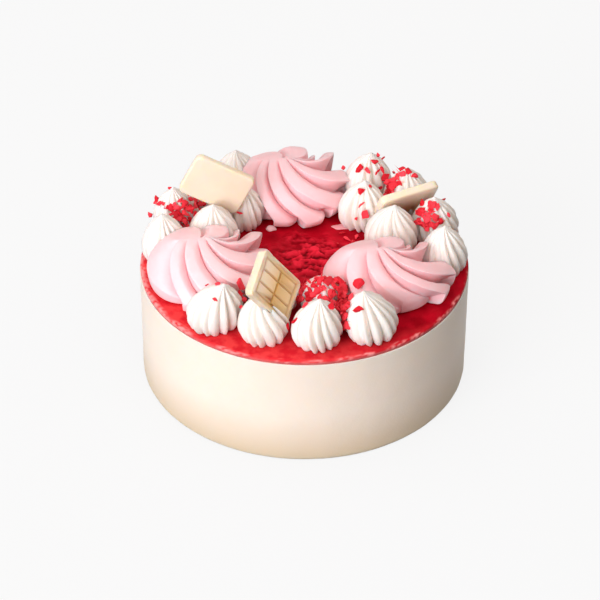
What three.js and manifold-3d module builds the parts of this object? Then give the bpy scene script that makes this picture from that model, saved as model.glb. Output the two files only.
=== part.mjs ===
// A round yogurt cake: a cream cylinder under a thin strawberry jelly, topped with three
// swirled rosettes, three groups of piped stars, three chocolate plaques and strawberry flakes.
// Millimetres, +Z up, the middle of the underside at the origin, the front towards -Y.
import * as THREE from "three";
import { mergeVertices } from "three/addons/utils/BufferGeometryUtils.js";
import Module from "manifold-3d";

const wasm = await Module();
wasm.setup();

// The cake itself.
const CAKE_RADIUS = 75;
const CAKE_SEGMENTS = 48;
const CREAM_HEIGHT = 53.5;
const EDGE_ROUNDING = 1.2;
const JELLY_RADIUS = 74.6;
const JELLY_TOP = 56;
const GAP = 0.3;
const TOPPING_BASE = JELLY_TOP + GAP;
const JELLY_ROUNDING = 1.2;
const JELLY_UNDERCUT = 0.2;

// The crumpled middle of the jelly, an oval that stays clear of every topping.
const CRUMPLE_CENTRE = [3, 3];
const CRUMPLE_RADIUS = 15;
const CRUMPLE_HEIGHT = 0.7;
const CRUMPLED_RINGS = [7, 14];

// A piped star: rings from the base up, as shares of its radius and of its height.
const STAR_RIDGES = 14;
const STAR_RINGS = [
  { radius: 0.84, height: 0, groove: 0.13 },
  { radius: 1, height: 0.2, groove: 0.15 },
  { radius: 0.92, height: 0.48, groove: 0.17 },
  { radius: 0.6, height: 0.74, groove: 0.2 },
  { radius: 0.2, height: 0.91, groove: 0.25 },
];
const STAR_TWIST = 32;

// Where the stars stand: the middle of the base, radius, height, and how far the tip leans.
const STARS = {
  star_front_1: { x: -39.7, y: -48.2, radius: 12.2, height: 23, lean: [5.4, -2.2], turn: 0 },
  star_front_2: { x: -17.6, y: -56.4, radius: 11.6, height: 22, lean: [-1.5, -0.5], turn: 9 },
  star_front_3: { x: 5.6, y: -60, radius: 11.5, height: 23, lean: [1.4, -0.8], turn: 4 },
  star_front_4: { x: 29.3, y: -54.4, radius: 12.2, height: 23, lean: [-3.6, -0.5], turn: 14 },
  star_front_inner_1: { x: -12.4, y: -34, radius: 10.3, height: 19, lean: [0, 0], turn: 3 },
  star_front_inner_2: { x: 8.6, y: -36.8, radius: 10.4, height: 19, lean: [-0.8, -2], turn: 11 },
  star_right_1: { x: 62.9, y: -5.6, radius: 11, height: 23, lean: [0, 0], turn: 6 },
  star_right_2: { x: 60, y: 19, radius: 11, height: 22.5, lean: [-1, -1], turn: 17 },
  star_right_3: { x: 47.8, y: 41, radius: 11.3, height: 23, lean: [0, 0], turn: 0 },
  star_right_4: { x: 29.4, y: 53.6, radius: 11.6, height: 23, lean: [1.5, 0], turn: 8 },
  star_right_inner_1: { x: 39.5, y: 9.8, radius: 12.3, height: 23, lean: [1.4, 0.8], turn: 12 },
  star_right_inner_2: { x: 26.8, y: 30.2, radius: 11.4, height: 23, lean: [1, 0], turn: 2 },
  star_left_1: { x: -63.5, y: 2.8, radius: 10.8, height: 23, lean: [-0.6, 0], turn: 10 },
  star_left_2: { x: -59, y: 24.2, radius: 10.8, height: 23, lean: [-1.2, 0], turn: 5 },
  star_left_3: { x: -46.6, y: 41.4, radius: 11, height: 22, lean: [0, 0], turn: 15 },
  star_left_4: { x: -32, y: 54, radius: 11.6, height: 24, lean: [-0.2, -0.5], turn: 1 },
  star_left_inner_1: { x: -41.6, y: 10.4, radius: 12, height: 23, lean: [0.2, -0.2], turn: 7 },
  star_left_inner_2: { x: -29.2, y: 29, radius: 10.4, height: 21.5, lean: [1.5, -1.5], turn: 13 },
};

// A rosette: rings from the peak outwards, over the rim and under to the base. Reach is the share
// of the way from the peak to the rim, groove and drop are how far a valley is set in and down,
// and lift is how much of its petal's own lift a crest takes.
const ROSETTE_HEIGHT = 22;
const ROSETTE_RADII = [29.5, 25.5];
const ROSETTE_PEAK = [-9.5, 1];
const ROSETTE_TWIST = 45;
const ROSETTE_RINGS = [
  { reach: 0.14, height: 0.985, groove: 0.25, drop: 0.08, lift: 0 },
  { reach: 0.32, height: 0.93, groove: 0.12, drop: 0.17, lift: 0.1 },
  { reach: 0.52, height: 0.84, groove: 0.1, drop: 0.24, lift: 0.3 },
  { reach: 0.72, height: 0.7, groove: 0.12, drop: 0.3, lift: 0.6 },
  { reach: 0.88, height: 0.53, groove: 0.16, drop: 0.28, lift: 0.85 },
  { reach: 0.975, height: 0.38, groove: 0.22, drop: 0.2, lift: 1 },
  { reach: 1, height: 0.28, groove: 0.24, drop: 0.16, lift: 1 },
  { reach: 0.94, height: 0.05, groove: 0.2, drop: 0, lift: 0.1 },
  { reach: 0.8, height: 0, groove: 0.14, drop: 0, lift: 0 },
];

// The petals start along a short line through the peak: how long it is, how far its middle is from
// the peak, its direction (degrees) and how fast the petals close up beyond it.
const CROWN_LENGTH = 15;
const CROWN_PLACE = 0.5;
const CROWN_TURN = 8;
const CROWN_FADE = 1.6;

// The petals of every rosette, anticlockwise: the columns across each and how flat its top is. A
// petal's clockwise edge is the steep one, and hangs a little over the petal below.
const PETAL_COLUMNS = [5, 5, 5, 5, 4, 2, 4, 6];
const PETAL_FLATNESS = [2.2, 2.2, 2.2, 2.4, 2.2, 1.6, 2.6, 4.5];
const PEAK_FLATNESS = 2.5;
const CREST_SKEW = 0.5;
const COLUMN_BIAS = 1.5;
const PETAL_OVERHANG = 0.25;
const WIDEST_OVERHANG = 30;

// Where each rosette stands, where its petals start at the rim (degrees round the peak), their
// lengths as shares of the way to the rim, and how far their ends lift (mm).
const ROSETTES = {
  rosette_left: {
    x: -41,
    y: -16.4,
    scale: [0.96, 1.14],
    starts: [-98, -62, -27, 1, 32, 45, 54, 108],
    lengths: [1, 0.97, 1, 1, 1.1, 0.94, 0.85, 1.07],
    lifts: [-1, -0.5, 0, 1, 2, 3, 5, 1],
  },
  rosette_back: {
    x: -5.2,
    y: 48,
    scale: [0.98, 1],
    starts: [-88, -60, -32, 3, 34, 46, 54, 108],
    lengths: [1.03, 1.06, 0.95, 0.97, 1.02, 0.85, 0.8, 1.03],
    lifts: [-2.6, -2.2, -0.5, 1.5, 5.5, 4, 8, 1],
  },
  rosette_right: {
    x: 38.2,
    y: -23.2,
    scale: [1, 0.98],
    starts: [-102, -54, -21, 1, 33, 45, 54, 108],
    lengths: [0.98, 0.82, 0.97, 1, 0.93, 0.78, 0.78, 1.03],
    lifts: [-1, 0.5, 0, 1, 6, 4, 7, 1],
  },
};

// A chocolate plaque: a plate with softened edges and, on the moulded side, pads in a sunk panel.
const PLAQUE_LENGTH = 29.5;
const PLAQUE_WIDTH = 22;
const PLAQUE_THICKNESS = 3.8;
const PLAQUE_CORNER = 2.2;
const PLAQUE_SOFTENING = 0.8;
const PADS = [2, 3];
const PAD_PITCH = [12.6, 6];
const GROOVE_WIDTH = 0.6;
const GROOVE_DEPTH = 0.9;
const GROOVE_SLOPE = 0.6;

// Where each plaque stands: its middle, the directions of its long and its short side, and
// whether it shows its moulded side.
const PLAQUES = {
  plaque_front: {
    middle: [-13.5, -52, 78.4],
    along: [0.517, 0.281, -0.809],
    across: [0.286, 0.833, 0.473],
    moulded: true,
  },
  plaque_left: {
    middle: [-40, 20, 83.7],
    along: [0.895, -0.026, -0.445],
    across: [-0.445, 0.028, -0.895],
    moulded: false,
  },
  plaque_right: {
    middle: [46, 26.7, 69.7],
    along: [0.894, 0.447, 0.023],
    across: [-0.2, 0.45, -0.87],
    moulded: false,
  },
};

// The larger strawberry flakes, by the star they lie on: the direction from the middle of the star
// (degrees), the share of its height, how far out of its side, and the size (mm).
const FLAKES = {
  star_front_1: [[20, 0.6, 1, 4.6], [12, 0.5, 1.4, 4.4], [-14, 0.5, 0.4, 4.2], [128, 0.88, 0, 3.8]],
  star_front_3: [[-8, 0.83, 0.6, 4.2], [166, 0.78, 0.4, 4.2]],
  star_front_4: [
    [-122, 0.75, 0.4, 4.8], [-146, 0.37, 0.6, 4.8], [-174, 0.52, 0.6, 5], [160, 0.75, 0.4, 4],
  ],
  star_front_inner_2: [
    [-50, 0.42, 0.6, 5.6], [-58, 0.67, 0.4, 5.6], [-4, 0.61, 0.4, 4.6], [-76, 0.79, 0.2, 4.6],
    [-108, 0.74, 0.2, 4.6], [-132, 0.56, 0.4, 5.6], [-176, 0.49, 0.2, 5],
  ],
  star_left_2: [
    [164, 0.62, 1, 4.4], [-144, 0.71, 0.2, 4.4], [-102, 0.69, 0.2, 4.6], [-78, 0.68, 0.4, 4.6],
    [-44, 0.74, 0.4, 4.6], [-34, 0.62, 0.6, 5], [-60, 0.57, 0.4, 4.6],
  ],
  star_left_3: [[-108, 0.39, 0.4, 4.4]],
  star_right_2: [
    [172, 0.79, 0.4, 4.8], [-120, 0.88, 0.2, 5.2], [-158, 0.72, 0.4, 4.6], [-122, 0.73, 0.2, 4.6],
    [-90, 0.69, 0.2, 5], [-74, 0.62, 0.2, 4.2], [-142, 0.55, 0.4, 5.2], [-100, 0.55, 0.2, 4.2],
    [-42, 0.68, 0.2, 4], [-72, 0.85, 0.2, 4],
  ],
  star_right_3: [
    [-160, 0.6, 0.4, 4.8], [-146, 0.69, 0.2, 4.4], [128, 0.84, 0.4, 4.8], [-148, 0.89, 0.2, 4.4],
    [-42, 0.86, 0.2, 4.8], [-90, 0.95, 0.2, 4],
  ],
  star_right_4: [
    [-132, 0.75, 0.4, 5.4], [-94, 0.76, 0.2, 4.4], [-60, 0.87, 0.2, 5], [30, 0.84, 0.2, 4.2],
    [-38, 0.69, 0.2, 4], [-40, 0.57, 0.4, 5], [-36, 0.45, 0.6, 5.4],
  ],
  star_right_inner_2: [[-116, 0.86, 0.2, 4.6], [-86, 0.51, 0.4, 5.6]],
};

// Heaps of more flakes against a star: the direction and how far round it spreads (degrees), the
// shares of the star's height it covers, how far it stands out (mm), and how many there are.
const HEAPS = [
  { on: "star_front_inner_2", towards: -100, spread: 70, from: 0.35, to: 0.95, out: 1.4, count: 6 },
  { on: "star_front_inner_2", towards: -20, spread: 35, from: 0.3, to: 0.8, out: 3.6, count: 6 },
  { on: "star_front_3", towards: 40, spread: 30, from: 0.4, to: 0.72, out: 1.4, count: 3 },
  { on: "star_front_4", towards: 172, spread: 26, from: 0.3, to: 0.7, out: 1.8, count: 4 },
  { on: "star_left_2", towards: -66, spread: 34, from: 0.4, to: 0.66, out: 1.6, count: 4 },
  { on: "star_right_2", towards: -125, spread: 45, from: 0.5, to: 0.85, out: 1, count: 3 },
  { on: "star_right_3", towards: -155, spread: 25, from: 0.45, to: 0.8, out: 2, count: 3 },
];
const HEAP_FLAKE_SIZES = [4.4, 6.6];

// The two large flakes that lie on rosettes.
const ROSETTE_FLAKES = {
  rosette_left: [{ place: [-27.9, -38.8, 70.7], size: 5.8, seed: 1 }],
  rosette_right: [{ place: [23.7, -40.3, 72.6], size: 6.8, seed: 2 }],
};

const FLAKE_SHAPE = [1, 0.8, 0.6];
const FLAKE_UNEVENNESS = 0.22;
const FINER_FLAKE = 6.2;
const FLAKES_REACH = 6;

const RED = 0xd81b2a;
const CREAM = 0xf6ead8;
const PINK = 0xf7ccd2;
const WHITE = 0xfaf5ec;
const IVORY = 0xf1e3bf;

const radians = THREE.MathUtils.degToRad;

function material(colour, roughness) {
  return new THREE.MeshStandardMaterial({ color: colour, roughness, metalness: 0 });
}

// Joins rings of points into one closed surface, with a point at each end.
function closedSurface(rings, firstPole, lastPole) {
  const columns = rings[0].length;
  const positions = [firstPole, ...rings.flat(), lastPole].flat();
  const last = rings.length * columns + 1;
  const index = [];
  const at = (ring, column) => 1 + ring * columns + (column % columns);
  for (let column = 0; column < columns; column += 1) {
    index.push(0, at(0, column + 1), at(0, column));
    index.push(last, at(rings.length - 1, column), at(rings.length - 1, column + 1));
    for (let ring = 0; ring + 1 < rings.length; ring += 1) {
      const a = at(ring, column);
      const b = at(ring, column + 1);
      const c = at(ring + 1, column + 1);
      const d = at(ring + 1, column);
      index.push(a, b, c, a, c, d);
    }
  }
  const geometry = new THREE.BufferGeometry();
  geometry.setAttribute("position", new THREE.Float32BufferAttribute(positions, 3));
  geometry.setIndex(index);
  return geometry;
}

function toSolid(geometry) {
  const mesh = new wasm.Mesh({
    numProp: 3,
    vertProperties: new Float32Array(geometry.attributes.position.array),
    triVerts: new Uint32Array(geometry.index.array),
  });
  mesh.merge();
  return new wasm.Manifold(mesh);
}

function toGeometry(solid) {
  const mesh = solid.getMesh();
  const geometry = new THREE.BufferGeometry();
  geometry.setAttribute("position", new THREE.Float32BufferAttribute(mesh.vertProperties, 3));
  geometry.setIndex(Array.from(mesh.triVerts));
  return geometry;
}

// Joining and cutting can leave loose scraps and sealed hollows: only the outside of the largest
// piece is kept.
function largestPiece(solid) {
  return solid.decompose().reduce((best, piece) => (piece.volume() > best.volume() ? piece : best));
}

// The cream body: a plain cylinder with softened edges.
function creamBody() {
  const soft = EDGE_ROUNDING;
  const profile = [
    [0, 0],
    [CAKE_RADIUS - soft, 0],
    [CAKE_RADIUS, soft],
    [CAKE_RADIUS, CREAM_HEIGHT - soft],
    [CAKE_RADIUS - soft, CREAM_HEIGHT],
    [0, CREAM_HEIGHT],
  ];
  const points = profile.map(([radius, height]) => new THREE.Vector2(radius, height));
  return new THREE.LatheGeometry(points, CAKE_SEGMENTS).rotateX(Math.PI / 2);
}

// How far the jelly rises above its flat top in the crumpled middle.
function crumple(x, y) {
  const dx = x - CRUMPLE_CENTRE[0];
  const dy = y - CRUMPLE_CENTRE[1];
  const fade = Math.max(0, 1 - Math.hypot(dx, dy) / CRUMPLE_RADIUS);
  const folds = Math.sin(0.9 * dx + 0.5 * dy) + Math.sin(0.8 * dy - 0.45 * dx + 1);
  return CRUMPLE_HEIGHT * Math.sqrt(fade) * (0.5 + 0.25 * folds);
}

// The jelly: a thin disc with a soft upper edge.
function jellyLayer() {
  const bottom = CREAM_HEIGHT + GAP;
  const crumpled = CRUMPLED_RINGS.map((radius) => ({ radius, height: JELLY_TOP, folds: 1 }));
  const profile = [
    ...crumpled,
    { radius: JELLY_RADIUS - JELLY_ROUNDING, height: JELLY_TOP, folds: 0 },
    { radius: JELLY_RADIUS, height: JELLY_TOP - JELLY_ROUNDING, folds: 0 },
    { radius: JELLY_RADIUS - JELLY_UNDERCUT, height: bottom, folds: 0 },
  ];
  const rings = profile.map(({ radius, height, folds }) => {
    const ring = [];
    for (let column = 0; column < CAKE_SEGMENTS; column += 1) {
      const angle = (2 * Math.PI * column) / CAKE_SEGMENTS;
      const x = radius * Math.cos(angle);
      const y = radius * Math.sin(angle);
      ring.push([x, y, height + folds * crumple(x, y)]);
    }
    return ring;
  });
  return closedSurface(rings.reverse(), [0, 0, bottom], [0, 0, JELLY_TOP + crumple(0, 0)]);
}

// A star of cream; grow makes it that much larger all round, to cut neighbours clear of it.
function starSurface(star, grow = 0) {
  const radius = star.radius + grow;
  const height = star.height + 2 * grow;
  const base = TOPPING_BASE - grow;
  const columns = 2 * STAR_RIDGES;
  const rings = STAR_RINGS.map((shape) => {
    const share = shape.height;
    const lean = share ** 2;
    const ring = [];
    for (let column = 0; column < columns; column += 1) {
      const valley = column % 2;
      const angle = radians(star.turn - STAR_TWIST * share) + (Math.PI * column) / STAR_RIDGES;
      const reach = radius * shape.radius * (1 - valley * shape.groove);
      ring.push([
        star.x + lean * star.lean[0] + reach * Math.cos(angle),
        star.y + lean * star.lean[1] + reach * Math.sin(angle),
        base + height * share,
      ]);
    }
    return ring;
  });
  const tip = [star.x + star.lean[0], star.y + star.lean[1], base + height];
  return closedSurface(rings, [star.x, star.y, base], tip);
}

// Repeatable numbers from 0 to 1, so that every build scatters the flakes alike.
function numbersFrom(seed) {
  let state = seed;
  return () => {
    state = (state + 0x6d2b79f5) | 0;
    let mixed = Math.imul(state ^ (state >>> 15), 1 | state);
    mixed = (mixed + Math.imul(mixed ^ (mixed >>> 7), 61 | mixed)) ^ mixed;
    return ((mixed ^ (mixed >>> 14)) >>> 0) / 4294967296;
  };
}

// The point on the outside of a star in one direction at one share of its height.
function onStar(star, direction, share, out) {
  const above = STAR_RINGS.findIndex((ring) => ring.height > share);
  const rings = [...STAR_RINGS, { radius: 0, height: 1 }];
  const upper = above < 0 ? rings.length - 1 : above;
  const [a, b] = [rings[upper - 1], rings[upper]];
  const blend = (share - a.height) / (b.height - a.height);
  const reach = star.radius * (a.radius + (b.radius - a.radius) * blend) + out;
  const lean = share ** 2;
  return [
    star.x + lean * star.lean[0] + reach * Math.cos(radians(direction)),
    star.y + lean * star.lean[1] + reach * Math.sin(radians(direction)),
    TOPPING_BASE + star.height * share,
  ];
}

// One flake: an uneven lump of a few faces, turned at random.
function flakeSolid({ place, size, seed }, grow = 0) {
  const random = numbersFrom(seed);
  const across = size + 2 * grow;
  const plain = size < FINER_FLAKE;
  const round = plain ? new THREE.OctahedronGeometry(0.5) : new THREE.IcosahedronGeometry(0.5);
  const geometry = mergeVertices(stripped(round), 1e-4);
  const corners = geometry.getAttribute("position");
  for (let i = 0; i < corners.count; i += 1) {
    const scale = across * (1 + FLAKE_UNEVENNESS * (2 * random() - 1));
    const corner = FLAKE_SHAPE.map((part, axis) => corners.getComponent(i, axis) * part * scale);
    corners.setXYZ(i, ...corner);
  }
  const turn = new THREE.Euler(...[random(), random(), random()].map((share) => 2 * Math.PI * share));
  geometry.applyMatrix4(new THREE.Matrix4().makeRotationFromEuler(turn));
  return toSolid(geometry.translate(...place));
}

// The flakes that lie on a star, apart and heaped: where each is, its size and its seed.
function flakesOn(name, star, number) {
  const random = numbersFrom(number);
  const between = (low, high) => low + (high - low) * random();
  const flakes = (FLAKES[name] ?? []).map(([direction, share, out, size]) => {
    const place = onStar(star, direction, share, out);
    return { place, size };
  });
  for (const heap of HEAPS.filter(({ on }) => on === name)) {
    for (let i = 0; i < heap.count; i += 1) {
      const direction = heap.towards + heap.spread * between(-1, 1);
      const place = onStar(star, direction, between(heap.from, heap.to), heap.out * random());
      flakes.push({ place, size: between(...HEAP_FLAKE_SIZES) });
    }
  }
  return flakes.map((flake, count) => ({ ...flake, seed: 100 * number + count }));
}

// The columns of points across all the petals of a rosette.
function rosetteColumns({ starts }) {
  const columns = [];
  starts.forEach((start, petal) => {
    const wrap = petal + 1 === starts.length ? 360 : 0;
    const width = starts[(petal + 1) % starts.length] + wrap - start;
    for (let column = 0; column < PETAL_COLUMNS[petal]; column += 1) {
      const share = (column / PETAL_COLUMNS[petal]) ** COLUMN_BIAS;
      const hanging = Math.sin(Math.PI * Math.min(2 * share, 1));
      const over = PETAL_OVERHANG * hanging * Math.min(width, WIDEST_OVERHANG);
      columns.push({ angle: start + width * share - over, share, petal });
    }
  });
  return columns;
}

// How far the rim of a rosette is from its peak in one direction: the rim is an oval, and the
// peak stands to one side of its middle.
function rimDistance(angle) {
  const [a, b] = ROSETTE_RADII;
  const [x, y] = ROSETTE_PEAK;
  const c = Math.cos(angle);
  const s = Math.sin(angle);
  const square = (c / a) ** 2 + (s / b) ** 2;
  const half = (x * c) / a ** 2 + (y * s) / b ** 2;
  const rest = (x / a) ** 2 + (y / b) ** 2 - 1;
  return (-half + Math.sqrt(half ** 2 - square * rest)) / square;
}

function rosetteSurface(rosette) {
  const [wide, deep] = rosette.scale;
  const crownTurn = radians(CROWN_TURN);
  const onCrown = (along, out, direction) => [
    rosette.x + wide * (ROSETTE_PEAK[0] + along * Math.cos(crownTurn) + out * Math.cos(direction)),
    rosette.y + deep * (ROSETTE_PEAK[1] + along * Math.sin(crownTurn) + out * Math.sin(direction)),
  ];
  const columns = rosetteColumns(rosette);
  const rings = ROSETTE_RINGS.map((shape, number) => columns.map(({ angle, share, petal }) => {
    const overRim = number < ROSETTE_RINGS.length - 2;
    const twist = overRim ? ROSETTE_TWIST * (1 - shape.reach ** 2) : 0;
    const direction = radians(angle - twist);
    const crown = overRim ? (1 - shape.reach) ** CROWN_FADE : 0;
    const along = crown * (CROWN_PLACE + (CROWN_LENGTH / 2) * Math.cos(direction));
    const flatness = PETAL_FLATNESS[petal] + PEAK_FLATNESS * (1 - shape.reach);
    const crest = 1 - Math.abs(2 * share ** CREST_SKEW - 1) ** flatness;
    const length = 1 + (rosette.lengths[petal] - 1) * shape.reach * crest;
    const out = rimDistance(radians(angle)) * shape.reach * length * (1 - shape.groove * (1 - crest));
    const lift = rosette.lifts[petal] * shape.lift * crest;
    const up = ROSETTE_HEIGHT * (shape.height - shape.drop * (1 - crest)) + lift;
    return [...onCrown(along, out, direction), TOPPING_BASE + Math.max(up, 0)];
  }));
  const top = [...onCrown(CROWN_PLACE, 0, 0), TOPPING_BASE + ROSETTE_HEIGHT];
  return closedSurface(rings.reverse(), [rosette.x, rosette.y, TOPPING_BASE], top);
}

// A block with four sloping sides, from its low end to its high end.
function slopingBlock(x, y, low, high) {
  const rings = [low, high].map(({ size, z }) => [[-1, -1], [1, -1], [1, 1], [-1, 1]]
    .map(([a, b]) => [x + (a * size[0]) / 2, y + (b * size[1]) / 2, z]));
  return toSolid(closedSurface(rings, [x, y, low.z], [x, y, high.z]));
}

// Sinks a panel into the moulded side, with soft pads standing in it. The sides of both slope, and
// go on past the face and the floor of the panel.
function moulded(plate) {
  const face = PLAQUE_THICKNESS / 2;
  const floor = face - GROOVE_DEPTH;
  const beyond = GROOVE_DEPTH;
  const panel = PADS.map((count, axis) => count * PAD_PITCH[axis]);
  const hole = slopingBlock(
    0,
    0,
    { size: panel.map((size) => size - 2 * GROOVE_SLOPE), z: floor },
    { size: panel.map((size) => size + 2 * GROOVE_SLOPE), z: face + beyond },
  );
  let solid = plate.subtract(hole);
  for (let i = 0; i < PADS[0]; i += 1) {
    for (let j = 0; j < PADS[1]; j += 1) {
      const [x, y] = [i, j].map((count, axis) => (count - (PADS[axis] - 1) / 2) * PAD_PITCH[axis]);
      const foot = PAD_PITCH.map((pitch) => pitch - GROOVE_WIDTH);
      const pad = slopingBlock(
        x,
        y,
        { size: foot.map((size) => size + 2 * GROOVE_SLOPE), z: floor - beyond },
        { size: foot.map((size) => size - 2 * GROOVE_SLOPE), z: face },
      );
      solid = solid.add(pad);
    }
  }
  return solid;
}

// A plaque about its own middle: x along it, y across it and z out of its moulded side.
function plaqueSolid(grow = 0) {
  const soft = PLAQUE_SOFTENING;
  const half = [PLAQUE_LENGTH / 2 - soft + grow, PLAQUE_WIDTH / 2 - soft + grow];
  const corner = PLAQUE_CORNER;
  const outline = new THREE.Shape();
  outline.moveTo(-half[0] + corner, -half[1]);
  outline.lineTo(half[0] - corner, -half[1]);
  outline.quadraticCurveTo(half[0], -half[1], half[0], -half[1] + corner);
  outline.lineTo(half[0], half[1] - corner);
  outline.quadraticCurveTo(half[0], half[1], half[0] - corner, half[1]);
  outline.lineTo(-half[0] + corner, half[1]);
  outline.quadraticCurveTo(-half[0], half[1], -half[0], half[1] - corner);
  outline.lineTo(-half[0], -half[1] + corner);
  outline.quadraticCurveTo(-half[0], -half[1], -half[0] + corner, -half[1]);
  const plate = new THREE.ExtrudeGeometry(outline, {
    depth: PLAQUE_THICKNESS - 2 * soft + 2 * grow,
    curveSegments: 2,
    bevelSize: soft,
    bevelThickness: soft,
    bevelSegments: 1,
  });
  plate.translate(0, 0, soft - PLAQUE_THICKNESS / 2 - grow);
  return toSolid(mergeVertices(stripped(plate), 1e-4));
}

function stripped(geometry) {
  const bare = new THREE.BufferGeometry();
  bare.setAttribute("position", geometry.getAttribute("position"));
  return bare;
}

// Stands a plaque where it belongs.
function standing(plaque, grow = 0) {
  const along = new THREE.Vector3(...plaque.along).normalize();
  const normal = along.clone().cross(new THREE.Vector3(...plaque.across)).normalize();
  const across = normal.clone().cross(along);
  const pose = new THREE.Matrix4().makeBasis(along, across, normal);
  pose.setPosition(...plaque.middle);
  const plate = plaqueSolid(grow);
  return (plaque.moulded && grow === 0 ? moulded(plate) : plate).transform(pose.elements);
}

function grownStar(star) {
  return toSolid(starSurface(star, GAP));
}

function cutBy(solid, cutters) {
  return cutters.reduce((left, cutter) => left.subtract(cutter), solid);
}

const group = new THREE.Group();

function addMesh(name, geometry, colour, roughness) {
  const mesh = new THREE.Mesh(geometry, material(colour, roughness));
  mesh.name = name;
  group.add(mesh);
}

addMesh("yogurt_body", creamBody(), CREAM, 0.5);
addMesh("strawberry_jelly", jellyLayer(), RED, 0.15);
for (const [name, plaque] of Object.entries(PLAQUES)) {
  addMesh(name, toGeometry(standing(plaque)), IVORY, 0.35);
}

const stars = Object.entries(STARS).map(([name, star], number) => ({
  ...star,
  name,
  flakes: flakesOn(name, star, number + 1),
}));
const grownPlaques = Object.values(PLAQUES).map((plaque) => standing(plaque, GAP));
const grownFlakes = [];

// Whether another star stands near enough to reach a star or its flakes.
function near(star, other) {
  const apart = Math.hypot(other.x - star.x, other.y - star.y);
  return other !== star && apart < star.radius + other.radius + FLAKES_REACH;
}

// Each star is cut back where an earlier star or a plaque stands; its flakes, where any does.
stars.forEach((star, number) => {
  const neighbours = stars.filter((other) => near(star, other));
  const earlier = neighbours.filter((other) => stars.indexOf(other) < number);
  const cream = cutBy(toSolid(starSurface(star)), [...earlier.map(grownStar), ...grownPlaques]);
  if (star.flakes.length === 0) {
    addMesh(star.name, toGeometry(largestPiece(cream)), WHITE, 0.45);
    return;
  }
  const lumps = star.flakes.map((flake) => flakeSolid(flake)).reduce((all, lump) => all.add(lump));
  const clear = cutBy(lumps, [...neighbours.map(grownStar), ...grownPlaques, ...grownFlakes]);
  grownFlakes.push(...star.flakes.map((flake) => flakeSolid(flake, GAP)));
  addMesh(star.name, toGeometry(largestPiece(cream.add(clear))), WHITE, 0.45);
});

// The rosettes are cut back where anything else stands.
for (const [name, rosette] of Object.entries(ROSETTES)) {
  const cutters = [...stars.map(grownStar), ...grownPlaques, ...grownFlakes];
  const flakes = (ROSETTE_FLAKES[name] ?? []).map((flake) => flakeSolid(flake));
  const whole = flakes.reduce((all, flake) => all.add(flake), toSolid(rosetteSurface(rosette)));
  const solid = cutBy(whole, cutters);
  addMesh(name, toGeometry(largestPiece(solid)), PINK, 0.4);
}

export default group;
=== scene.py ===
"""A strawberry yogurt cake in soft studio light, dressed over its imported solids.

The forms repeat the part's own formulas with many more points. The cake and the camera's place are
in millimetres, up to new_piece() and make_camera(), which turn them into metres. Lamps, floor
and materials are in metres.
"""
import math

import bmesh
import bpy
import numpy as np
from mathutils import Euler, Matrix, Vector, noise


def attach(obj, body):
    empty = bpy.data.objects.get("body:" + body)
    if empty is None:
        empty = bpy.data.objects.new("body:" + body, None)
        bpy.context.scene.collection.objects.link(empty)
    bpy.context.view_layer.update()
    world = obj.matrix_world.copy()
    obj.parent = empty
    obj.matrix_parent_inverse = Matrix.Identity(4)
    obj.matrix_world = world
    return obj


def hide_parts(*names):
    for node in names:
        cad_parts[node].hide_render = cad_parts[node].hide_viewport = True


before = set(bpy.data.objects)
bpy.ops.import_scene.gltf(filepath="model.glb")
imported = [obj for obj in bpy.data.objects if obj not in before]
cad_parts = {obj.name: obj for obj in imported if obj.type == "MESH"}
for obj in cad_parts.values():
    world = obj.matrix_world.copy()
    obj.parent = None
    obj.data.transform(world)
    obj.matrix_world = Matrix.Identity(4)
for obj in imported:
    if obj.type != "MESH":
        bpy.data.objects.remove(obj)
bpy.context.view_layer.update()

MM = 0.001
# No distance, in mm.
TINY = 1e-6

# The cake, as in the part.
CAKE_RADIUS = 75
CREAM_HEIGHT = 53.5
EDGE_ROUNDING = 1.2
JELLY_RADIUS = 74.6
JELLY_TOP = 56
JELLY_ROUNDING = 1.2
JELLY_UNDERCUT = 0.2
GAP = 0.3
TOPPING_BASE = JELLY_TOP + GAP

# The jelly nearly touches the cream, whose covered upper edge is sharper than in the part.
SEAM = 0.05
COVERED_ROUNDING = 0.3

# How finely the curved surfaces are divided, and the radius of the jelly's innermost ring.
ROUNDING_POINTS = 7
WALL_POINTS = 60
BODY_COLUMNS = 240
JELLY_ROUNDING_POINTS = 8
JELLY_RINGS = 170
JELLY_COLUMNS = 320
JELLY_INNERMOST = 0.4

# How far each seed moves a pattern of lumps, in widths of the lumps.
SEED_STEPS = (17.3, 5.1, 9.7)

# Here and below, unevenness is made of layers of (height, width of the lumps, seed), in mm.
BODY_UNEVENNESS = ((0.12, 9, 1), (0.05, 2.5, 2))
# Painted shade darkens the cream towards its foot: from what height, and by what power.
FOOT_SHADE_HEIGHT = 26
FOOT_SHADE_POWER = 1.3

# The jelly is a little uneven and sunk. Its crumpled middle has a centre and a height, a strength
# there, a distance over which it loses 1 of that strength, and a ragged limit.
JELLY_UNEVENNESS = (0.12, 8, 3)
JELLY_SINK = 0.1
CRUMPLE_CENTRE = (2, 2)
CRUMPLE_HEIGHT = 1.1
CRUMPLE_STRENGTH = 1.35
CRUMPLE_FADE = 16
CRUMPLE_RAGGEDNESS = (0.6, 8, 13)
# Its relief is stretched across the cake, bent, and made of coarse and fine lumps.
RELIEF_STRETCH = (0.75, 1, 1)
RELIEF_BENDING = (1.5, 5, 14)
RELIEF_LUMPS = ((1, 2.9, 11), (0.55, 1.2, 12))
# How the relief turns into folds, which are painted lighter, partly as thinner jelly and partly as a
# highlight, and into hollows, which get painted shade.
FOLD_BASE = 0.45
FOLD_STEEPNESS = 1.3
HIGHEST_FOLD = 1.2
HOLLOW_START = 0.1
HOLLOW_STEEPNESS = 2.6
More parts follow.
